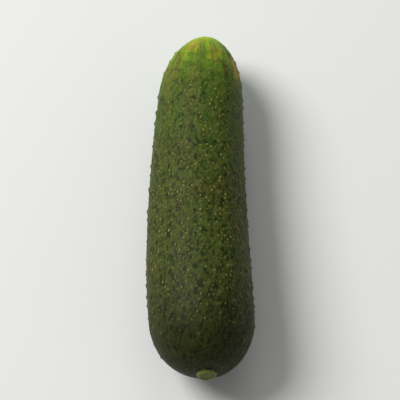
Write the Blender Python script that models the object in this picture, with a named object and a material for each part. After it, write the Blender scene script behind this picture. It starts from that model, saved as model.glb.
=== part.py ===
"""A pickling cucumber, as picked, lying on its side on a flat surface.

Run it with: blender --background --python part.py

Units are metres and +Z is up. The fruit lies along Y, with its blossom end at +Y and its stalk
end at -Y, and it bows gently towards -X. The origin is on the surface that it lies on, under the
middle of the fruit.

The fruit grew as one piece, so it is one closed solid: a profile is spun round the fruit's own
axis, and its points are then moved to give the cross-section, the bow and the resting side.
"""

import math

import bmesh
import bpy
from mathutils import Matrix, Vector

# Length and thickness of the fruit, without its stalk scar
FRUIT_LENGTH = 0.134
GIRTH_DIAMETER = 0.0365  # where the fruit is thickest
THICKEST_TO_STALK_END = 0.030  # from the thickest place to the stalk end
BLOSSOM_DIAMETER = 0.027  # that the taper would reach at the very tip
TAPER_POWER = 1.5

# Rounded ends: how long each is along the axis, and how square (2 is an ellipse)
BLOSSOM_CAP_LENGTH = 0.024
BLOSSOM_CAP_POWER = 2.0
STALK_CAP_LENGTH = 0.021
STALK_CAP_POWER = 2.05

# Cross-section: three blunt lobes, one for each seed chamber, under low lengthwise ribs
LOBE_COUNT = 3
LOBE_HEIGHT = 0.00035
LOBE_TURN = math.radians(25.0)  # of the uppermost lobe, from straight up towards +X
RIB_COUNT = 9
RIB_HEIGHT = 0.00006

# Scars at the two ends
STALK_SCAR_DIAMETER = 0.0065
STALK_SCAR_HEIGHT = 0.0009  # that the scar stands out past the stalk end
STALK_SCAR_DISH = 0.0004
STALK_PIT_WIDTH = 0.0015  # of the ring-shaped hollow round the scar
STALK_PIT_DEPTH = 0.0008  # below the stalk end
BLOSSOM_SCAR_DIAMETER = 0.0048
BLOSSOM_SCAR_DEPTH = 0.0005

# How it grew and lies
BOW_DEPTH = 0.003  # how far the middle stands out to -X from the line between the ends
RESTING_FLAT_DEPTH = 0.00045  # the side that it lies on is pressed this flat

# Fineness of the mesh
STEPS_AROUND = 44
STEPS_IN_CAP = 13
STEPS_ALONG = 16
TIP_CROWDING = 1.35  # above 1 crowds the rings of a cap towards its tip
BALANCE_SLICES = 200
WELD_DISTANCE = 1e-6

SKIN_COLOUR = (0.050, 0.088, 0.024, 1.0)
SKIN_ROUGHNESS = 0.5


def cap_share(distance, length, power):
    """The share of the full radius that a rounded end has reached, a distance in from its tip."""
    if distance >= length:
        return 1.0
    remaining = 1.0 - distance / length
    return (1.0 - remaining**power) ** (1.0 / power)


def body_radius(along):
    """The fruit's radius, a distance along its axis from the blossom tip."""
    to_thickest = max(0.0, 1.0 - along / (FRUIT_LENGTH - THICKEST_TO_STALK_END))
    taper = (GIRTH_DIAMETER - BLOSSOM_DIAMETER) * to_thickest**TAPER_POWER
    blossom = cap_share(along, BLOSSOM_CAP_LENGTH, BLOSSOM_CAP_POWER)
    stalk = cap_share(FRUIT_LENGTH - along, STALK_CAP_LENGTH, STALK_CAP_POWER)
    return 0.5 * (GIRTH_DIAMETER - taper) * blossom * stalk


def cap_distances(length):
    """Distances in from a rounded end's tip for its rings, close together near the tip."""
    for step in range(1, STEPS_IN_CAP + 1):
        angle = 0.5 * math.pi * (step / STEPS_IN_CAP) ** TIP_CROWDING
        yield length * (1.0 - math.cos(angle))


def blossom_end_profile():
    """(along, radius) from the middle of the blossom scar, a shallow dimple, to the body."""
    scar_radius = 0.5 * BLOSSOM_SCAR_DIAMETER
    points = [(BLOSSOM_SCAR_DEPTH, 0.0)]
    for along in cap_distances(BLOSSOM_CAP_LENGTH):
        radius = body_radius(along)
        inside = max(0.0, 1.0 - (radius / scar_radius) ** 2)
        points.append((along + BLOSSOM_SCAR_DEPTH * inside**2, radius))
    return points


def body_profile():
    """(along, radius) of the long stretch between the two rounded ends."""
    start = BLOSSOM_CAP_LENGTH
    end = FRUIT_LENGTH - STALK_CAP_LENGTH
    steps = [start + (end - start) * step / STEPS_ALONG for step in range(1, STEPS_ALONG)]
    return [(along, body_radius(along)) for along in steps]


def stalk_end_profile():
    """(along, radius) from the body to the middle of the stalk scar, a low dished button."""
    scar_radius = 0.5 * STALK_SCAR_DIAMETER
    pit_radius = scar_radius + STALK_PIT_WIDTH
    face = FRUIT_LENGTH + STALK_SCAR_HEIGHT
    rings = [FRUIT_LENGTH - inward for inward in cap_distances(STALK_CAP_LENGTH)]
    points = [(along, body_radius(along)) for along in reversed(rings)]
    points = [point for point in points if point[1] > pit_radius]
    points.append((FRUIT_LENGTH - STALK_PIT_DEPTH, 0.5 * (pit_radius + scar_radius)))
    points.append((FRUIT_LENGTH - 0.5 * STALK_PIT_DEPTH, scar_radius))
    points.append((face, 0.92 * scar_radius))
    points.append((face - 0.8 * STALK_SCAR_DISH, 0.65 * scar_radius))
    points.append((face - STALK_SCAR_DISH, 0.0))
    return points


def spin_profile(mesh, points):
    """Spins the (along, radius) points round Y into a closed skin, blossom tip at y = 0."""
    verts = [mesh.verts.new((radius, -along, 0.0)) for along, radius in points]
    edges = [mesh.edges.new(pair) for pair in zip(verts, verts[1:])]
    bmesh.ops.spin(
        mesh,
        geom=verts + edges,
        cent=(0.0, 0.0, 0.0),
        axis=(0.0, 1.0, 0.0),
        angle=2.0 * math.pi,
        steps=STEPS_AROUND,
    )
    bmesh.ops.remove_doubles(mesh, verts=mesh.verts, dist=WELD_DISTANCE)


def swell_cross_section(point):
    """Moves a point of the spun body out or in to give the lobes and ribs, none at the tips."""
    radius = math.hypot(point.x, point.z)
    fullness = min(1.0, radius / (0.5 * BLOSSOM_DIAMETER))
    angle = math.atan2(point.x, point.z) - LOBE_TURN
    swell = LOBE_HEIGHT * math.cos(LOBE_COUNT * angle)
    swell += RIB_HEIGHT * math.cos(RIB_COUNT * angle)
    stretch = 1.0 + fullness**2 * swell / max(radius, WELD_DISTANCE)
    return Vector((point.x * stretch, point.y, point.z * stretch))


def bow_sideways(point):
    """Bends the straight fruit round an upright axis on its +X side."""
    bend_radius = FRUIT_LENGTH**2 / (8.0 * BOW_DEPTH)
    angle = (point.y + 0.5 * FRUIT_LENGTH) / bend_radius
    reach = bend_radius - point.x
    return Vector((bend_radius - reach * math.cos(angle), reach * math.sin(angle), point.z))


def resting_tilt():
    """How far the slim blossom end dips, so that the fruit lies on the skin under its balance."""
    slice_length = FRUIT_LENGTH / BALANCE_SLICES
    middles = [(step + 0.5) * slice_length for step in range(BALANCE_SLICES)]
    areas = [body_radius(along) ** 2 for along in middles]
    balance = sum(along * area for along, area in zip(middles, areas)) / sum(areas)
    rise = body_radius(balance + slice_length) - body_radius(balance - slice_length)
    return math.atan2(rise, 2.0 * slice_length)


def lay_down(mesh):
    """Tilts the fruit to its balance, presses its resting side flat and centres it over that."""
    bmesh.ops.rotate(mesh, verts=mesh.verts, matrix=Matrix.Rotation(-resting_tilt(), 3, "X"))
    flat_height = min(vert.co.z for vert in mesh.verts) + RESTING_FLAT_DEPTH
    for vert in mesh.verts:
        vert.co.z = max(vert.co.z, flat_height)
    middle = [
        0.5 * (min(vert.co[axis] for vert in mesh.verts) + max(vert.co[axis] for vert in mesh.verts))
        for axis in (0, 1)
    ]
    bmesh.ops.translate(mesh, verts=mesh.verts, vec=(-middle[0], -middle[1], -flat_height))


def skin_material():
    material = bpy.data.materials.new("cucumber_skin")
    material.use_nodes = True
    shader = material.node_tree.nodes["Principled BSDF"]
    shader.inputs["Base Color"].default_value = SKIN_COLOUR
    shader.inputs["Roughness"].default_value = SKIN_ROUGHNESS
    shader.inputs["Metallic"].default_value = 0.0
    return material


def build_cucumber():
    mesh = bmesh.new()
    spin_profile(mesh, blossom_end_profile() + body_profile() + stalk_end_profile())
    for vert in mesh.verts:
        vert.co = bow_sideways(swell_cross_section(vert.co))
    lay_down(mesh)
    bmesh.ops.recalc_face_normals(mesh, faces=mesh.faces)
    data = bpy.data.meshes.new("cucumber")
    mesh.to_mesh(data)
    mesh.free()
    data.shade_smooth()
    data.materials.append(skin_material())
    cucumber = bpy.data.objects.new("cucumber", data)
    bpy.context.scene.collection.objects.link(cucumber)


def main():
    for leftover in list(bpy.data.objects):
        bpy.data.objects.remove(leftover)
    build_cucumber()


main()
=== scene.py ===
"""The looks of a pickling cucumber: its rough skin, its warts and scars, and soft studio light."""

import math

import bpy
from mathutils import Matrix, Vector


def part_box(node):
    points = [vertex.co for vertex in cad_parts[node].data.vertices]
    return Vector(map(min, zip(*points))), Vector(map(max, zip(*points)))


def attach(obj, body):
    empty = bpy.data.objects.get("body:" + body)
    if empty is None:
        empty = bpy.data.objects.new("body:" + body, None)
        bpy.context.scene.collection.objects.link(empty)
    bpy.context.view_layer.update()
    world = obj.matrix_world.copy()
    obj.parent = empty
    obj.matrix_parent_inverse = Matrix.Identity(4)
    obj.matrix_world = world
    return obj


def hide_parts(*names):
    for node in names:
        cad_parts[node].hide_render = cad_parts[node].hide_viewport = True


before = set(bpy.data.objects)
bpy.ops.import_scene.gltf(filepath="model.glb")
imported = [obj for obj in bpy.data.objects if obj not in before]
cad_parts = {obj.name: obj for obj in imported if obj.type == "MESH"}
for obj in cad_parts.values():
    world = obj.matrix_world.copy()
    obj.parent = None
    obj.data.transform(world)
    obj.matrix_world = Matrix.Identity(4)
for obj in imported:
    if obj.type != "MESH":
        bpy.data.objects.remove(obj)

MM = 0.001
FULL_TURN = 2.0 * math.pi
QUARTER_TURN = 0.5 * math.pi

# Where the solid is, and how big it is
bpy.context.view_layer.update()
LOW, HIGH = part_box("cucumber")
LENGTH = HIGH.y - LOW.y
GIRTH = HIGH.z - LOW.z

# Skin mesh: columns go round the fruit, rows go from end to end
COLUMNS = 264
ROWS = 368
POLE_CROWDING = 1.3  # above 1 crowds the rows towards the two tips
SOLID_ROUNDING = 2  # times that the solid is subdivided before the skin is cast onto it
SMOOTHING_STEPS = 6
WELD = 0.01 * MM

# Where points are spread: how many are tried to a square as wide as their spacing
POINTS_TRIED = 4.0

# Low ribs that wander a little, and an uneven swelling of the whole body
RIB_COUNT = 10.0
RIB_HEIGHT = 0.06 * MM
RIB_WANDER = 3.0  # in radians
RIB_ZONE = ((4.0 * MM, 30.0 * MM), (1.0 * MM, 14.0 * MM))
WANDERS_PER_METRE = 30.0
UNEVENNESS = 0.6 * MM
SWELLS_PER_METRE = 42.0

# Warts, each a low mound with a nib. A zone gives the distances from the stalk end and then from
# the blossom end at which something starts and is full.
WART_SPACING = 3.9 * MM
WART_RADIUS = 1.5 * MM
WART_HEIGHT = 0.36 * MM
WART_SIZES = (0.55, 1.25)
WART_ZONE = ((4.0 * MM, 20.0 * MM), (3.0 * MM, 12.0 * MM))
WART_HEIGHT_OFF_FLOOR = (1.0 * MM, 5.0 * MM)
WART_SEED = 11
NIB_WIDTH = 0.45  # of the wart's
NIB_SHARE = 0.3  # of the wart's height

# Wrinkles, fine crinkled ridges that run mostly lengthwise
WRINKLE_HEIGHT = 0.13 * MM
WRINKLES_PER_METRE = 560.0
WRINKLE_STRETCH = 0.5  # below 1 draws them out along the fruit
WRINKLE_WIDTH = 0.13  # either side of the middle value of the noise that they follow
WRINKLE_RAGGEDNESS = 0.6

# Pimples, the finest roughness, a little longer than wide
PIMPLE_SPACING = 1.45 * MM
PIMPLE_RADIUS = 0.48 * MM
PIMPLE_LENGTHENING = 1.3
PIMPLE_HEIGHT = 0.16 * MM
PIMPLE_SINK = 0.18  # of its height is below the skin
PIMPLE_SIZES = (0.45, 1.3)
PIMPLE_SIDES = 8
PIMPLE_RINGS = 3
PIMPLE_ZONE = ((4.0 * MM, 28.0 * MM), (2.0 * MM, 9.0 * MM))
PIMPLE_HEIGHT_OFF_FLOOR = (0.3 * MM, 2.0 * MM)
PIMPLE_PATCHES_PER_METRE = 120.0
PIMPLE_PATCH_EDGE = (0.3, 0.55)
PIMPLES_BETWEEN_PATCHES = 0.4  # of as many as there are in a patch
PIMPLE_SEED = 5

# Worn spines, a dry stub on top of each wart
SPINE_RADIUS = 0.19 * MM
SPINE_TIP_SHARE = 0.35  # of its radius
SPINE_HEIGHT = 0.24 * MM
SPINE_SINK = 0.1 * MM  # that its foot sits below the top of the wart
SPINE_SIDES = 6
SPINE_LEAN = 0.35  # at most, in radians

# Scars at the two ends: a corky rim round a hollow, and a low rough ring
STALK_SCAR_RADIUS = 3.1 * MM
STALK_RIM_WIDTH = 0.8 * MM
STALK_RIM_HEIGHT = 0.28 * MM
STALK_HOLLOW_RADIUS = 1.2 * MM
STALK_HOLLOW_DEPTH = 0.35 * MM
STALK_ROUGHNESS = 0.5 * MM
BLOSSOM_SCAR_RADIUS = 2.1 * MM
BLOSSOM_RING_WIDTH = 0.6 * MM
BLOSSOM_RING_HEIGHT = 0.2 * MM
BLOSSOM_ROUGHNESS = 0.35 * MM
SCAR_GRAINS_PER_METRE = 900.0


# Node trees ------------------------------------------------------------------------------------


def pick(sockets, key):
    """A socket by its place, or the first one in use that has that name."""
    if isinstance(key, int):
        return sockets[key]
    named = [socket for socket in sockets if socket.name == key]
    return next((socket for socket in named if socket.enabled), named[0])


def set_stops(ramp, stops):
    """Gives a colour ramp these (place, colour) stops."""
    while len(ramp.elements) < len(stops):
        ramp.elements.new(1.0)
    for element, (place, colour) in zip(ramp.elements, stops):
        element.position = place
        element.color = colour


class Wire:
    """An output of a node. Arithmetic on wires adds the nodes that work it out."""

    def __init__(self, tree, socket=None):
        self.tree = tree
        self.socket = socket

    def node(self, kind, settings=None, inputs=None, output=0):
        """Adds a node: first its settings, or a ramp's stops, then its inputs' values or links."""
        made = self.tree.nodes.new(kind)
        for name, value in (settings or {}).items():
            if name == "stops":
                set_stops(made.color_ramp, value)
            else:
                setattr(made, name, value)
        for key, value in (inputs or {}).items():
            socket = pick(made.inputs, key)
            if isinstance(value, Wire):
                self.tree.links.new(value.socket, socket)
            else:
                socket.default_value = value
        return Wire(self.tree, pick(made.outputs, output) if made.outputs else None)

    def output(self, name):
        """Another output of the same node."""
        return Wire(self.tree, pick(self.socket.node.outputs, name))

    def math(self, operation, *values):
        return self.node("ShaderNodeMath", {"operation": operation}, dict(enumerate(values)))

    def vector(self, operation, *values, output="Vector"):
        settings = {"operation": operation}
        return self.node("ShaderNodeVectorMath", settings, dict(enumerate(values)), output)

    def __add__(self, other):
        return self.math("ADD", self, other)

    def __sub__(self, other):
        return self.math("SUBTRACT", self, other)

    def __rsub__(self, other):
        return self.math("SUBTRACT", other, self)

    def __mul__(self, other):
        return self.math("MULTIPLY", self, other)

    def __truediv__(self, other):
        return self.math("DIVIDE", self, other)

    def __rtruediv__(self, other):
        return self.math("DIVIDE", other, self)

    def __pow__(self, other):
        return self.math("POWER", self, other)

    __radd__ = __add__
    __rmul__ = __mul__

    def clamp(self, low=0.0, high=1.0):
        return self.math("MINIMUM", self.math("MAXIMUM", self, low), high)

    def sine(self):
        return self.math("SINE", self)

    def cosine(self):
        return self.math("COSINE", self)

    def rise(self, start, end):
        """0 before start, 1 past end and a smooth step between. End may be the lower of the two."""
        settings = {"interpolation_type": "SMOOTHSTEP"}
        inputs = {"Value": self, "From Min": start, "From Max": end}
        return self.node("ShaderNodeMapRange", settings, inputs)

    def mound(self, middle, half_width):
        """1 at the middle value, falling smoothly to 0 half a width away on either side."""
        away = ((self - middle) / half_width).clamp(-1.0, 1.0)
        return (1.0 - away * away) ** 2.0

    def axis(self, name):
        return self.node("ShaderNodeSeparateXYZ", inputs={"Vector": self}, output=name)

    def xyz(self, x, y, z):
        return self.node("ShaderNodeCombineXYZ", inputs={"X": x, "Y": y, "Z": z})

    def distance(self, point):
        return self.vector("DISTANCE", self, point, output="Value")

    def stretched(self, factors):
        """A vector with each of its axes multiplied by its own factor."""
        return self.vector("MULTIPLY", self, factors)

    def times(self, amount):
        """A vector made longer by one amount."""
        inputs = {"Vector": self, "Scale": amount}
        return self.node("ShaderNodeVectorMath", {"operation": "SCALE"}, inputs)

    def noise(self, scale, detail=2.0, roughness=0.5):
        """Smooth random values from about 0 to 1, with this wire as the place."""
        inputs = {"Vector": self, "Scale": scale, "Detail": detail, "Roughness": roughness}
        return self.node("ShaderNodeTexNoise", inputs=inputs, output="Fac")

    def cells(self, scale):
        """Random cells of this many a metre: the distance to the nearest one's middle."""
        inputs = {"Vector": self, "Scale": scale}
        return self.node("ShaderNodeTexVoronoi", inputs=inputs, output="Distance")

    def random(self, low, high, seed, kind="FLOAT"):
        """A random value for each point, between two limits."""
        inputs = {"Min": low, "Max": high, "Seed": seed}
        return self.node("FunctionNodeRandomValue", {"data_type": kind}, inputs, "Value")

    def blend(self, first, second, share):
        """The first colour, turning into the second one as the share goes from 0 to 1."""
        inputs = {"Factor": share, "A": first, "B": second}
        return self.node("ShaderNodeMix", {"data_type": "RGBA"}, inputs, "Result")

    def mix(self, other, share):
        """This colour, turning into the other one as the share goes from 0 to 1."""
        return self.blend(self, other, share)


# Geometry Nodes --------------------------------------------------------------------------------


def geometry_tree(name, inputs):
    """A new tree with a geometry input and these {name: socket type} inputs, as a wire."""
    tree = bpy.data.node_groups.new(name, "GeometryNodeTree")
    tree.interface.new_socket("Geometry", in_out="INPUT", socket_type="NodeSocketGeometry")
    for label, kind in inputs.items():
        tree.interface.new_socket(label, in_out="INPUT", socket_type="NodeSocket" + kind)
    tree.interface.new_socket("Geometry", in_out="OUTPUT", socket_type="NodeSocketGeometry")
    return Wire(tree).node("NodeGroupInput")


def finish_tree(geometry, given):
    """Ends a tree: its copies are made real, shaded smooth and given their material."""
    real = given.node("GeometryNodeRealizeInstances", inputs={"Geometry": geometry})
    smooth = given.node("GeometryNodeSetShadeSmooth", inputs={"Geometry": real})
    inputs = {"Geometry": smooth, "Material": given.output("Finish")}
    painted = given.node("GeometryNodeSetMaterial", inputs=inputs)
    given.node("NodeGroupOutput", inputs={"Geometry": painted})
    return given.tree


def grow(name, tree, seed_mesh, values):
    """The plain mesh that a tree makes from a seed mesh, as an object at the origin."""
    seed = bpy.data.objects.new(name + "_seed", seed_mesh)
    bpy.context.scene.collection.objects.link(seed)
    modifier = seed.modifiers.new(name, "NODES")
    modifier.node_group = tree
    for item in tree.interface.items_tree:
        if item.in_out == "INPUT" and item.name in values:
            modifier[item.identifier] = values[item.name]
    graph = bpy.context.evaluated_depsgraph_get()
    mesh = bpy.data.meshes.new_from_object(
        seed.evaluated_get(graph), preserve_all_data_layers=True, depsgraph=graph
    )
    bpy.data.objects.remove(seed)
    mesh.name = name
    grown = bpy.data.objects.new(name, mesh)
    bpy.context.scene.collection.objects.link(grown)
    return grown


def store(geometry, name, value, kind="FLOAT"):
    """Keeps a value for every point of a geometry, under a name that can be read later."""
    settings = {"data_type": kind, "domain": "POINT"}
    inputs = {"Geometry": geometry, "Name": name, "Value": value}
    return geometry.node("GeometryNodeStoreNamedAttribute", settings, inputs)


def recall(wire, name, kind="FLOAT"):
    """A value that was stored for every point."""
    return wire.node("GeometryNodeInputNamedAttribute", {"data_type": kind}, {"Name": name})


def move_to(geometry, place):
    """Puts every point of a geometry at a place of its own."""
    inputs = {"Geometry": geometry, "Position": place}
    return geometry.node("GeometryNodeSetPosition", inputs=inputs)


def raise_skin(geometry, height):
    """Moves each point out along the skin's normal, but never below what the fruit lies on."""
    place = geometry.node("GeometryNodeInputPosition")
    normal = geometry.node("GeometryNodeInputNormal")
    moved = place.vector("ADD", place, normal.times(height))
    return move_to(geometry, moved.vector("MAXIMUM", moved, (-1.0, -1.0, 0.0)))


def spread_points(given, spacing, share, seed):
    """Points on the given mesh, none nearer to another than the spacing."""
    crowd = {
        "Mesh": given.output("Geometry"),
        "Distance Min": spacing,
        "Density Max": POINTS_TRIED / (spacing * spacing),
        "Density Factor": share,
        "Seed": seed,
    }
    settings = {"distribute_method": "POISSON"}
    return given.node("GeometryNodeDistributePointsOnFaces", settings, crowd, "Points")


def within(place, zone, off_floor=None):
    """1 along the body, falling to 0 towards the two ends and, if asked, where the fruit lies."""
    from_stalk, from_blossom = zone
    y = place.axis("Y")
    inside = y.rise(LOW.y + from_stalk[0], LOW.y + from_stalk[1])
    inside = inside * y.rise(HIGH.y - from_blossom[0], HIGH.y - from_blossom[1])
    return inside * place.axis("Z").rise(*off_floor) if off_floor else inside


# The fruit's own line, measured on the solid ---------------------------------------------------


def section_centre(y, half_band):
    """The middle of the solid's points that are near one place along the fruit."""
    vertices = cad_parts["cucumber"].data.vertices
    points = [vertex.co for vertex in vertices if abs(vertex.co.y - y) < half_band]
    low = Vector([min(point[axis] for point in points) for axis in range(3)])
    high = Vector([max(point[axis] for point in points) for axis in range(3)])
    return 0.5 * (low + high)


# The radius at which the rays turn round each end, and the middle of that turn
BODY_BAND = 3.5 * MM
BLOSSOM_ROUNDING = 0.42 * GIRTH
STALK_ROUNDING = 0.5 * GIRTH
BLOSSOM_CENTRE = section_centre(HIGH.y - BLOSSOM_ROUNDING, BODY_BAND)
STALK_CENTRE = section_centre(LOW.y + STALK_ROUNDING, BODY_BAND)

# The middles of the two scars
BLOSSOM_TIP_BAND = 0.6 * MM
STALK_FACE_BAND = 0.5 * MM
BLOSSOM_TIP = section_centre(HIGH.y, BLOSSOM_TIP_BAND)
STALK_FACE = section_centre(LOW.y, STALK_FACE_BAND)


# Bare body -------------------------------------------------------------------------------------


def looks_outward(given, place):
    """Where each point of the flat grid looks from and to: out of the fruit's middle line."""
    turn = (0.5 - place.axis("X")) * FULL_TURN
    share = place.axis("Y") + 0.5
    blossom_centre = given.output("Blossom centre")
    stalk_centre = given.output("Stalk centre")
    core = blossom_centre.distance(stalk_centre)
    blossom_arc = given.output("Blossom rounding") * QUARTER_TURN
    stalk_arc = given.output("Stalk rounding") * QUARTER_TURN
    travelled = share * (blossom_arc + core + stalk_arc)

    from_blossom = (travelled / blossom_arc).clamp() ** POLE_CROWDING
    along_core = ((travelled - blossom_arc) / core).clamp()
    from_stalk = (1.0 - (travelled - blossom_arc - core) / stalk_arc).clamp() ** POLE_CROWDING
    lean = (from_blossom + 1.0 - from_stalk) * QUARTER_TURN

    ends = {"Factor": along_core, "A": blossom_centre, "B": stalk_centre}
    source = given.node("ShaderNodeMix", {"data_type": "VECTOR"}, ends, "Result")
    sideways = lean.sine() * turn.sine()
    upwards = lean.sine() * turn.cosine()
    meridian = given.xyz(turn.sine(), turn.cosine(), 0.0)
    return source, given.xyz(sideways, lean.cosine(), upwards), meridian


def cast_onto_solid(given):
    """A fine closed grid, cast from the fruit's middle line onto the solid and smoothed."""
    flat = {
        "Size X": 1.0,
        "Size Y": 1.0,
        "Vertices X": given.output("Columns"),
        "Vertices Y": given.output("Rows"),
    }
    grid = given.node("GeometryNodeMeshGrid", inputs=flat, output="Mesh")
    place = given.node("GeometryNodeInputPosition")
    source, direction, meridian = looks_outward(given, place)

    inputs = {"Object": given.output("Solid")}
    solid = given.node("GeometryNodeObjectInfo", inputs=inputs, output="Geometry")
    inputs = {"Geometry": solid, "Distance": WELD}
    welded = given.node("GeometryNodeMergeByDistance", inputs=inputs)
    inputs = {"Mesh": welded, "Level": SOLID_ROUNDING}
    rounded = given.node("GeometryNodeSubdivisionSurface", inputs=inputs)
    ray = {
        "Target Geometry": rounded,
        "Source Position": source,
        "Ray Direction": direction,
        "Ray Length": LENGTH,
    }
    hit = given.node("GeometryNodeRaycast", inputs=ray, output="Hit Position")

    marked = store(grid, "meridian", meridian, "FLOAT_VECTOR")
    inputs = {"Geometry": move_to(marked, hit), "Distance": WELD}
    closed = given.node("GeometryNodeMergeByDistance", inputs=inputs)
    settings = {"data_type": "FLOAT_VECTOR"}
    blur = {"Value": given.node("GeometryNodeInputPosition"), "Iterations": SMOOTHING_STEPS}
    return move_to(closed, given.node("GeometryNodeBlurAttribute", settings, blur))


def bare_body_tree():
    """The fruit without its warts: round, low-ribbed and a little uneven."""
    given = geometry_tree(
        "bare_body",
        {
            "Solid": "Object",
            "Columns": "Int",
            "Rows": "Int",
            "Blossom centre": "Vector",
            "Stalk centre": "Vector",
            "Blossom rounding": "Float",
            "Stalk rounding": "Float",
            "Rib count": "Float",
            "Rib height": "Float",
            "Unevenness": "Float",
            "Finish": "Material",
        },
    )
    body = cast_onto_solid(given)
    place = given.node("GeometryNodeInputPosition")
    meridian = recall(given, "meridian", "FLOAT_VECTOR")
    angle = given.math("ARCTAN2", meridian.axis("X"), meridian.axis("Y"))
    wander = (place.noise(WANDERS_PER_METRE) - 0.5) * RIB_WANDER
    ribs = (angle * given.output("Rib count") + wander).cosine() * within(place, RIB_ZONE)
    uneven = place.noise(SWELLS_PER_METRE, detail=1.0) - 0.5
    height = ribs * given.output("Rib height") + uneven * given.output("Unevenness")
    return finish_tree(raise_skin(body, height), given)


# Warty skin ------------------------------------------------------------------------------------


def wart_points(given):
    """Points where warts grow on the bare body, each with its size and which way it stands."""
    place = given.node("GeometryNodeInputPosition")
    share = within(place, WART_ZONE, WART_HEIGHT_OFF_FLOOR)
    points = spread_points(given, given.output("Wart spacing"), share, given.output("Seed"))
    sized = store(points, "size", given.random(*WART_SIZES, given.output("Seed")))
    return store(sized, "upright", points.output("Rotation"), "QUATERNION")


def wrinkles(place):
    """1 along the crests of fine crinkled ridges, drawn out along the fruit, and 0 between them."""
    drawn_out = place.stretched((1.0, WRINKLE_STRETCH, 1.0))
    ragged = drawn_out.noise(WRINKLES_PER_METRE, roughness=WRINKLE_RAGGEDNESS)
    return ragged.mound(0.5, WRINKLE_WIDTH)


def scar_relief(given, place):
    """The corky rim and hollow of the stalk scar, and the low rough ring of the blossom scar."""
    stalk_radius = given.output("Stalk scar radius")
    stalk = place.distance(STALK_FACE)
    rim = stalk.mound(stalk_radius, STALK_RIM_WIDTH) * STALK_RIM_HEIGHT
    hollow = stalk.mound(0.0, STALK_HOLLOW_RADIUS) * STALK_HOLLOW_DEPTH
    inside_rim = stalk.rise(stalk_radius, stalk_radius - STALK_RIM_WIDTH)

    blossom_radius = given.output("Blossom scar radius")
    blossom = place.distance(BLOSSOM_TIP)
    ring = blossom.mound(blossom_radius, BLOSSOM_RING_WIDTH) * BLOSSOM_RING_HEIGHT
    inside_ring = blossom.rise(blossom_radius + BLOSSOM_RING_WIDTH, blossom_radius)

    rough = place.noise(SCAR_GRAINS_PER_METRE) - 0.5
    grain = inside_rim * STALK_ROUGHNESS + inside_ring * BLOSSOM_ROUGHNESS
    return rim - hollow + ring + grain * rough


def warty_skin_tree():
    """The skin: warts on the bare body, and the relief of the scars at its two ends."""
    given = geometry_tree(
        "warty_skin",
        {
            "Wart spacing": "Float",
            "Wart radius": "Float",
            "Wart height": "Float",
            "Wrinkle height": "Float",
            "Stalk scar radius": "Float",
            "Blossom scar radius": "Float",
            "Seed": "Int",
            "Finish": "Material",
        },
    )
    points = wart_points(given)
    place = given.node("GeometryNodeInputPosition")
    settings = {"target_element": "POINTS"}
    distance = given.node("GeometryNodeProximity", settings, {"Geometry": points}, "Distance")
    settings = {"domain": "POINT"}
    nearest = given.node("GeometryNodeSampleNearest", settings, {"Geometry": points}, "Index")
    settings = {"data_type": "FLOAT", "domain": "POINT"}
    sample = {"Geometry": points, "Value": recall(given, "size"), "Index": nearest}
    size = given.node("GeometryNodeSampleIndex", settings, sample)

    reach = distance / (given.output("Wart radius") * size)
    wart = reach.mound(0.0, 1.0)
    nib = reach.mound(0.0, NIB_WIDTH)
    raised = wart * (1.0 - NIB_SHARE) + nib * NIB_SHARE
    warts = raised * size * given.output("Wart height")

    wrinkle = wrinkles(place)
    crinkled = wrinkle * within(place, WART_ZONE, WART_HEIGHT_OFF_FLOOR)
    marked = store(given.output("Geometry"), "wart", wart)
    marked = store(marked, "wrinkle", wrinkle)
    relief = warts + crinkled * given.output("Wrinkle height") + scar_relief(given, place)
    return finish_tree(raise_skin(marked, relief), given)


# Pimples and spines ----------------------------------------------------------------------------


def small_dome(given, radius, height):
    """A low bell-shaped pimple, longer than wide, whose foot is sunk below the skin."""
    cone = {
        "Vertices": PIMPLE_SIDES,
        "Side Segments": PIMPLE_RINGS,
        "Radius Top": 0.0,
        "Radius Bottom": 1.0,
        "Depth": 1.0,
    }
    blank = given.node("GeometryNodeMeshCone", {"fill_type": "NGON"}, cone, "Mesh")
    place = given.node("GeometryNodeInputPosition")
    reach = place.vector("LENGTH", place.stretched((1.0, 1.0, 0.0)), output="Value")
    bell = reach.mound(0.0, 1.0) - PIMPLE_SINK
    length = radius * PIMPLE_LENGTHENING
    shaped = given.xyz(place.axis("X") * radius, place.axis("Y") * length, bell * height)
    return move_to(store(blank, "pimple", bell), shaped)


def pimple_tree():
    """Fine low pimples over the skin, in patches, and few of them at the two ends."""
    given = geometry_tree(
        "pimples",
        {
            "Pimple spacing": "Float",
            "Pimple radius": "Float",
            "Pimple height": "Float",
            "Seed": "Int",
            "Finish": "Material",
        },
    )
    seed = given.output("Seed")
    place = given.node("GeometryNodeInputPosition")
    patch = place.noise(PIMPLE_PATCHES_PER_METRE).rise(*PIMPLE_PATCH_EDGE)
    patchy = patch * (1.0 - PIMPLES_BETWEEN_PATCHES) + PIMPLES_BETWEEN_PATCHES
    share = within(place, PIMPLE_ZONE, PIMPLE_HEIGHT_OFF_FLOOR) * patchy
    points = spread_points(given, given.output("Pimple spacing"), share, seed)
    lengthwise = {"Rotation": points.output("Rotation"), "Vector": (0.0, 1.0, 0.0)}
    settings = {"axis": "Y", "pivot_axis": "Z"}
    copies = {
        "Points": store(points, "tone", given.random(0.0, 1.0, seed + 1.0)),
        "Instance": small_dome(given, given.output("Pimple radius"), given.output("Pimple height")),
        "Rotation": given.node("FunctionNodeAlignRotationToVector", settings, lengthwise),
        "Scale": given.random(*PIMPLE_SIZES, seed),
    }
    return finish_tree(given.node("GeometryNodeInstanceOnPoints", inputs=copies), given)


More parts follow.
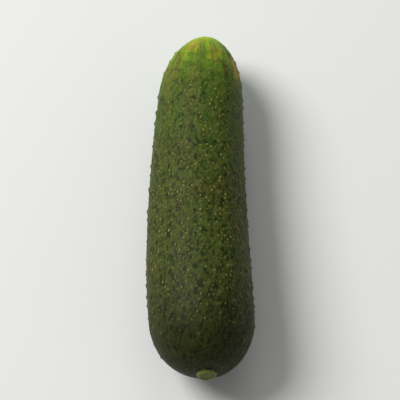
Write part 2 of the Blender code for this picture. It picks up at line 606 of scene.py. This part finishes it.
def spine_tree():
    """A short dry stub on top of each wart."""
    given = geometry_tree(
        "worn_spines",
        {
            "Wart spacing": "Float",
            "Wart height": "Float",
            "Spine radius": "Float",
            "Spine height": "Float",
            "Seed": "Int",
            "Finish": "Material",
        },
    )
    points = wart_points(given)
    size = recall(given, "size")
    upright = recall(given, "upright", "QUATERNION")
    straight_up = {"Vector": (0.0, 0.0, 1.0), "Rotation": upright}
    outward = given.node("FunctionNodeRotateVector", inputs=straight_up)
    up = size * given.output("Wart height") + given.output("Spine height") * 0.5 - SPINE_SINK
    on_top = {"Geometry": points, "Offset": outward.times(up)}

    stub = {
        "Vertices": SPINE_SIDES,
        "Radius Top": given.output("Spine radius") * SPINE_TIP_SHARE,
        "Radius Bottom": given.output("Spine radius"),
        "Depth": given.output("Spine height"),
    }
    most = (SPINE_LEAN, SPINE_LEAN, 0.0)
    least = (-SPINE_LEAN, -SPINE_LEAN, 0.0)
    leaning = given.random(least, most, given.output("Seed"), "FLOAT_VECTOR")
    turned = {"Rotation": upright, "Rotate By": leaning}
    copies = {
        "Points": given.node("GeometryNodeSetPosition", inputs=on_top),
        "Instance": given.node("GeometryNodeMeshCone", {"fill_type": "NGON"}, stub, "Mesh"),
        "Rotation": given.node("FunctionNodeRotateRotation", {"rotation_space": "LOCAL"}, turned),
        "Scale": size,
    }
    return finish_tree(given.node("GeometryNodeInstanceOnPoints", inputs=copies), given)


# Colours ---------------------------------------------------------------------------------------


def paint(red, green, blue):
    """A linear colour from sRGB values of 0 to 255."""
    shares = [value / 255.0 for value in (red, green, blue)]
    linear = [s / 12.92 if s <= 0.04045 else ((s + 0.055) / 1.055) ** 2.4 for s in shares]
    return (*linear, 1.0)


OLIVE = paint(29, 49, 7)
BROWN = paint(47, 45, 12)
RUSTY = paint(66, 44, 18)
LEAF_GREEN = paint(60, 98, 18)
STALK_END_BLACK = paint(26, 29, 12)
RIPE_GREEN = paint(88, 144, 20)
RIPE_YELLOW = paint(152, 188, 28)
TIP_YELLOW = paint(182, 213, 43)
STRIPE_BROWN = paint(104, 94, 36)
OCHRE = paint(182, 152, 42)
RUSSET = paint(126, 88, 32)
CRINKLE_TAN = paint(90, 100, 35)
# Painted shade: a dark colour laid in the skin's pits, standing in for the shade that falls in them
PIT_SHADE = paint(20, 27, 7)
SPECK_TAN = paint(132, 124, 64)
WART_TAN = paint(108, 106, 54)
STALK_CORK = paint(96, 114, 46)
STALK_GREEN = paint(58, 76, 26)
CORK_TAN = paint(138, 124, 78)
CREAM = paint(204, 204, 124)
BLOSSOM_BROWN = paint(146, 112, 56)
SPINE_BROWN = paint(92, 76, 42)
SPINE_TAN = paint(150, 136, 90)
FLOOR_WHITE = (0.86, 0.86, 0.85, 1.0)

# Bands of colour: the shares of the length, from the blossom tip, at which each starts and is
# full, how far its edge strays, and how strong it is
TIP_BAND = (0.055, 0.0, 0.10, 1.0)
RIPE_BAND = (0.23, 0.05, 0.24, 0.9)
STRIPE_BAND = (0.45, 0.1, 0.0, 0.45)
LEAFY_BAND = (0.58, 0.1, 0.35, 0.7)
DARK_BAND = (0.62, 0.97, 0.1, 0.9)

# Streaks that run lengthwise: how fine they are across the fruit, up through it and along it
FINE_STREAKS = (9.0, 9.0, 5.0)
STRIPE_STREAKS = (6.0, 6.0, 2.5)
BROAD_STREAKS = (2.6, 2.6, 3.0)
STRIPE_EDGE = (0.5, 0.62)
RIPE_STREAKS = ((0.3, STRIPE_BROWN), (0.42, RIPE_GREEN), (0.6, RIPE_YELLOW))

# Blotches round the blossom end: middle, from the blossom tip, then radius, colour and strength
BLOTCHES = (
    ((-4.4 * MM, -7.6 * MM, 9.9 * MM), 3.6 * MM, OCHRE, 0.9),
    ((3.2 * MM, -12.7 * MM, 12.1 * MM), 3.0 * MM, OCHRE, 0.6),
    ((10.2 * MM, -16.8 * MM, 7.9 * MM), 3.2 * MM, OCHRE, 0.9),
    ((-11.7 * MM, -21.1 * MM, 7.1 * MM), 3.8 * MM, RUSSET, 0.8),
    ((-8.3 * MM, -15.1 * MM, 9.1 * MM), 2.8 * MM, RUSSET, 0.7),
)
BLOTCH_LENGTHENING = 2.2
BLOTCH_RAGGEDNESS = 2.8  # of its radius
BLOTCH_EDGE = (1.3, 0.1)  # of its radius
BLOTCH_STREAK_EDGE = (0.3, 0.6)
BLOTCH_BETWEEN_STREAKS = 0.5  # of its strength

# How fine each pattern of the skin is, to a metre
RUST_FINENESS = 70.0
MOTTLE_FINENESS = 160.0
SPECK_PATCH_FINENESS = 300.0
# how fine the painted shade in the pits is
PIT_SHADE_FINENESS = 420.0
BLOTCH_FINENESS = 500.0
SCAR_EDGE_FINENESS = 800.0
SPECK_FINENESS = 900.0
GRAIN_CELL_FINENESS = 1100.0
SCAR_FIBRE_FINENESS = 1500.0
GRAIN_FINENESS = 2200.0

# The values of a pattern between which its colour goes from none to all
MOTTLE_EDGE = (0.45, 0.75)
RUST_EDGE = (0.45, 0.7)
# where the painted shade in the pits starts and is full
PIT_SHADE_EDGE = (0.52, 0.36)
SPECK_EDGE = (0.45, 0.15)
SPECK_PATCH_EDGE = (0.4, 0.6)
PIMPLE_EDGE = (-0.12, 0.45)
FIBRE_EDGE = (0.4, 0.65)
WORN_EDGE = (0.35, 0.65)

# How strong each pattern's colour is, and how much of the fine ones the end colours hide
RUST_SHARE = 0.4
# how strong the painted shade in the pits is
PIT_SHADE_SHARE = 0.8
CRINKLE_SHARE = 0.55
SPECK_SHARE = 0.3
WART_SHARE = 0.15
HIDDEN_BY_DARK = 0.7
HIDDEN_BY_RIPE = 0.8

# Colours of the scars. A disc starts at one radius and is full at the next. A ring has a radius
# and half a width. The last number is how strong it is.
STALK_TINTS = (
    ("disc", STALK_CORK, 4.1 * MM, STALK_SCAR_RADIUS, 0.9),
    ("ring", STALK_GREEN, 2.0 * MM, 0.7 * MM, 0.7),
    ("ring", CORK_TAN, STALK_SCAR_RADIUS, STALK_RIM_WIDTH, 0.55),
)
FIBRE_TINT = ("disc", CORK_TAN, 2.8 * MM, 0.4 * MM, 0.55)
BLOSSOM_TINTS = (
    ("disc", CREAM, 4.6 * MM, 2.2 * MM, 0.7),
    ("ring", BLOSSOM_BROWN, BLOSSOM_SCAR_RADIUS, 0.8 * MM, 0.75),
    ("disc", BLOSSOM_BROWN, 1.2 * MM, 0.2 * MM, 0.5),
)
SCAR_STRAY = 1.6 * MM

# Gloss and grain of the skin
SKIN_ROUGHNESS = 0.44
ROUGHER_WITH_MOTTLE = 0.2
SKIN_SPECULAR = 0.12
GRAIN_STRENGTH = 0.25
GRAIN_DEPTH = 0.1 * MM
SPINE_ROUGHNESS = 0.8
FLOOR_ROUGHNESS = 0.9


# Finishes --------------------------------------------------------------------------------------


def new_finish(name):
    """A material with a plain Principled shader: the shader's node, and a wire to add to it."""
    material = bpy.data.materials.new(name)
    material.use_nodes = True
    return material, material.node_tree.nodes["Principled BSDF"], Wire(material.node_tree)


def connect(shader, inputs):
    """Links wires to a shader's inputs, and sets the ones that are the same all over."""
    for name, value in inputs.items():
        if isinstance(value, Wire):
            value.tree.links.new(value.socket, shader.inputs[name])
        else:
            shader.inputs[name].default_value = value


def read_value(wire, name, output="Fac"):
    """A value that the geometry keeps for each of its points."""
    return wire.node("ShaderNodeAttribute", {"attribute_name": name}, output=output)


def band(along, streak, limits):
    """How much of a band's colour there is, with an edge that strays with the streaks."""
    start, full, stray, strength = limits
    return (along + (streak - 0.5) * stray).rise(start, full) * strength


def blotch(place, middle, radius):
    """1 in the middle of a ragged patch that is drawn out along the fruit, 0 outside it."""
    squeeze = (1.0, 1.0 / BLOTCH_LENGTHENING, 1.0)
    centre = tuple(value * factor for value, factor in zip(middle, squeeze))
    squeezed = place.stretched(squeeze)
    ragged = squeezed.noise(BLOTCH_FINENESS, detail=3.0, roughness=0.65) - 0.5
    reach = squeezed.distance(centre) + ragged * (BLOTCH_RAGGEDNESS * radius)
    start, full = BLOTCH_EDGE
    return reach.rise(start * radius, full * radius)


def skin_bands(place, meridian):
    """The skin's broad colours, how much of the fine detail shows on them, and its mottling."""
    along = (HIGH.y - place.axis("Y")) / LENGTH
    lanes = place.vector("ADD", meridian, place.xyz(0.0, 0.0, along))
    fine_streak = lanes.stretched(FINE_STREAKS).noise(1.0, detail=3.0)
    broad_streak = lanes.stretched(BROAD_STREAKS).noise(1.0)
    stripe = lanes.stretched(STRIPE_STREAKS).noise(1.0).rise(*STRIPE_EDGE)
    mottle = place.noise(MOTTLE_FINENESS, detail=4.0, roughness=0.65)
    ripe = band(along, fine_streak, RIPE_BAND)
    dark = band(along, broad_streak, DARK_BAND)
    settings = {"stops": RIPE_STREAKS}
    ripened = place.node("ShaderNodeValToRGB", settings, {"Fac": fine_streak}, "Color")

    colour = place.blend(OLIVE, BROWN, mottle.rise(*MOTTLE_EDGE))
    colour = colour.mix(LEAF_GREEN, band(along, broad_streak, LEAFY_BAND))
    colour = colour.mix(RUSTY, place.noise(RUST_FINENESS).rise(*RUST_EDGE) * RUST_SHARE)
    colour = colour.mix(STALK_END_BLACK, dark)
    colour = colour.mix(ripened, ripe)
    colour = colour.mix(STRIPE_BROWN, band(along, broad_streak, STRIPE_BAND) * stripe)
    colour = colour.mix(TIP_YELLOW, band(along, fine_streak, TIP_BAND))
    in_streak = fine_streak.rise(*BLOTCH_STREAK_EDGE)
    streaked = in_streak * (1.0 - BLOTCH_BETWEEN_STREAKS) + BLOTCH_BETWEEN_STREAKS
    for from_tip, radius, stain, strength in BLOTCHES:
        middle = BLOSSOM_TIP + Vector(from_tip)
        colour = colour.mix(stain, blotch(place, middle, radius) * streaked * strength)
    detail = (1.0 - dark * HIDDEN_BY_DARK) * (1.0 - ripe * HIDDEN_BY_RIPE)
    return colour, detail, mottle


def tint_scar(colour, distance, tint, share=1.0):
    """Adds one disc or ring of colour, by the distance from the middle of a scar."""
    kind, stain, first, second, strength = tint
    shape = distance.rise(first, second) if kind == "disc" else distance.mound(first, second)
    return colour.mix(stain, shape * (share * strength))


def paint_scars(colour, place):
    """The pale stalk scar with its corky rim, and the cream and brown of the blossom scar."""
    stray = (place.noise(SCAR_EDGE_FINENESS, detail=3.0) - 0.5) * SCAR_STRAY
    stalk = place.distance(STALK_FACE) + stray
    for tint in STALK_TINTS:
        colour = tint_scar(colour, stalk, tint)
    fibres = place.noise(SCAR_FIBRE_FINENESS).rise(*FIBRE_EDGE)
    colour = tint_scar(colour, stalk, FIBRE_TINT, fibres)
    blossom = place.distance(BLOSSOM_TIP) + stray
    for tint in BLOSSOM_TINTS:
        colour = tint_scar(colour, blossom, tint)
    return colour


def waxy_skin():
    """Dark olive skin that is yellow-green at the blossom end and almost black at the stalk end."""
    material, shader, wire = new_finish("waxy_skin")
    place = wire.node("ShaderNodeTexCoord", output="Object")
    colour, detail, mottle = skin_bands(place, read_value(wire, "meridian", "Vector"))

    # Painted shade: dark specks where the skin's pits would be shaded, fainter where the end
    # colours hide the fine detail
    pit_shade = place.noise(PIT_SHADE_FINENESS).rise(*PIT_SHADE_EDGE)
    speck = place.cells(SPECK_FINENESS).rise(*SPECK_EDGE)
    speck = speck * place.noise(SPECK_PATCH_FINENESS).rise(*SPECK_PATCH_EDGE)
    pimple = read_value(wire, "pimple").rise(*PIMPLE_EDGE) * read_value(wire, "tone")
    colour = colour.mix(PIT_SHADE, pit_shade * detail * PIT_SHADE_SHARE)
    colour = colour.mix(CRINKLE_TAN, read_value(wire, "wrinkle") * detail * CRINKLE_SHARE)
    colour = colour.mix(SPECK_TAN, speck * detail * SPECK_SHARE)
    colour = colour.mix(SPECK_TAN, pimple * detail)
    colour = colour.mix(WART_TAN, read_value(wire, "wart") * WART_SHARE)
    colour = paint_scars(colour, place)

    grain = 0.5 * (place.noise(GRAIN_FINENESS) + place.cells(GRAIN_CELL_FINENESS))
    bump = {"Height": grain, "Strength": GRAIN_STRENGTH, "Distance": GRAIN_DEPTH}
    connect(
        shader,
        {
            "Base Color": colour,
            "Roughness": mottle * ROUGHER_WITH_MOTTLE + SKIN_ROUGHNESS,
            "Normal": wire.node("ShaderNodeBump", inputs=bump),
            "Metallic": 0.0,
            "Specular IOR Level": SKIN_SPECULAR,
        },
    )
    return material


def dry_spine():
    """Dry stubs, from brown to pale tan from one to the next."""
    material, shader, wire = new_finish("dry_spine")
    place = wire.node("ShaderNodeTexCoord", output="Object")
    worn = place.noise(SPECK_PATCH_FINENESS).rise(*WORN_EDGE)
    colour = wire.blend(SPINE_BROWN, SPINE_TAN, worn)
    connect(shader, {"Base Color": colour, "Roughness": SPINE_ROUGHNESS, "Metallic": 0.0})
    return material


# Stage -----------------------------------------------------------------------------------------

FLOOR_HALF_WIDTH = 1.5
CAMERA_ELEVATION = math.radians(64.0)
CAMERA_DISTANCE = 0.78
NEAREST_SEEN = 10.0 * MM
FRAME_SHARE = 0.86  # of the view's height that the fruit fills
SKY_STRENGTH = 0.2

# Soft round lights: name, place, width and power
LIGHTS = (
    ("key", (-1.05, 0.45, 1.25), 1.0, 26.0),
    ("fill", (1.1, -0.8, 0.9), 1.0, 0.8),
    ("back", (0.1, 1.3, 0.9), 0.9, 3.5),
)


def add_floor():
    """A plain pale floor that the fruit lies on."""
    finish, shader, _ = new_finish("pale_floor")
    connect(shader, {"Base Color": FLOOR_WHITE, "Roughness": FLOOR_ROUGHNESS})
    mesh = bpy.data.meshes.new("floor")
    signs = ((-1.0, -1.0), (1.0, -1.0), (1.0, 1.0), (-1.0, 1.0))
    corners = [(FLOOR_HALF_WIDTH * x, FLOOR_HALF_WIDTH * y, 0.0) for x, y in signs]
    mesh.from_pydata(corners, [], [(0, 1, 2, 3)])
    mesh.materials.append(finish)
    floor = bpy.data.objects.new("floor", mesh)
    bpy.context.scene.collection.objects.link(floor)


def add_light(name, place, width, power):
    """A soft round light that points at the fruit."""
    data = bpy.data.lights.new(name, "AREA")
    data.shape = "DISK"
    data.size = width
    data.energy = power
    light = bpy.data.objects.new(name, data)
    light.location = place
    towards = Vector((0.0, 0.0, 0.5 * GIRTH)) - Vector(place)
    light.rotation_euler = towards.to_track_quat("-Z", "Y").to_euler()
    bpy.context.scene.collection.objects.link(light)


def light_sky():
    """Faint even light from all round, and colours shown as they are."""
    world = bpy.data.worlds.new("studio")
    world.use_nodes = True
    sky = world.node_tree.nodes["Background"]
    sky.inputs["Color"].default_value = (1.0, 1.0, 1.0, 1.0)
    sky.inputs["Strength"].default_value = SKY_STRENGTH
    bpy.context.scene.world = world
    bpy.context.scene.view_settings.view_transform = "Standard"


def add_camera():
    """Looks down from the stalk end, with the blossom end at the top of the view."""
    back = Vector((0.0, -math.cos(CAMERA_ELEVATION), math.sin(CAMERA_ELEVATION)))
    seen_height = LENGTH * math.sin(CAMERA_ELEVATION) / FRAME_SHARE
    data = bpy.data.cameras.new("camera")
    data.lens = data.sensor_width * CAMERA_DISTANCE / seen_height
    data.clip_start = NEAREST_SEEN
    camera = bpy.data.objects.new("camera", data)
    camera.location = 0.5 * (LOW + HIGH) + back * CAMERA_DISTANCE
    camera.rotation_euler = (-back).to_track_quat("-Z", "Y").to_euler()
    bpy.context.scene.collection.objects.link(camera)
    bpy.context.scene.camera = camera


# Pieces ----------------------------------------------------------------------------------------


def grow_pieces():
    """The skin, the pimples on it and the worn spines on its warts."""
    skin_finish = waxy_skin()
    bare = grow(
        "bare_body",
        bare_body_tree(),
        bpy.data.meshes.new("nothing"),
        {
            "Solid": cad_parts["cucumber"],
            "Columns": COLUMNS + 1,
            "Rows": ROWS + 1,
            "Blossom centre": BLOSSOM_CENTRE,
            "Stalk centre": STALK_CENTRE,
            "Blossom rounding": BLOSSOM_ROUNDING,
            "Stalk rounding": STALK_ROUNDING,
            "Rib count": RIB_COUNT,
            "Rib height": RIB_HEIGHT,
            "Unevenness": UNEVENNESS,
            "Finish": skin_finish,
        },
    )
    warts = {"Wart spacing": WART_SPACING, "Wart height": WART_HEIGHT, "Seed": WART_SEED}
    skin = grow(
        "cucumber_skin",
        warty_skin_tree(),
        bare.data,
        {
            **warts,
            "Wart radius": WART_RADIUS,
            "Wrinkle height": WRINKLE_HEIGHT,
            "Stalk scar radius": STALK_SCAR_RADIUS,
            "Blossom scar radius": BLOSSOM_SCAR_RADIUS,
            "Finish": skin_finish,
        },
    )
    spines = grow(
        "worn_spines",
        spine_tree(),
        bare.data,
        {
            **warts,
            "Spine radius": SPINE_RADIUS,
            "Spine height": SPINE_HEIGHT,
            "Finish": dry_spine(),
        },
    )
    pimples = grow(
        "skin_pimples",
        pimple_tree(),
        skin.data,
        {
            "Pimple spacing": PIMPLE_SPACING,
            "Pimple radius": PIMPLE_RADIUS,
            "Pimple height": PIMPLE_HEIGHT,
            "Seed": PIMPLE_SEED,
            "Finish": skin_finish,
        },
    )
    bpy.data.objects.remove(bare)
    return skin, pimples, spines


def main():
    """Makes the pieces, puts them on the frame, and sets up the floor, lights and camera."""
    skin, pimples, spines = grow_pieces()
    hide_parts("cucumber")
    for piece in (skin, pimples, spines):
        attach(piece, "root")

    add_floor()
    for light in LIGHTS:
        add_light(*light)
    light_sky()
    add_camera()


main()
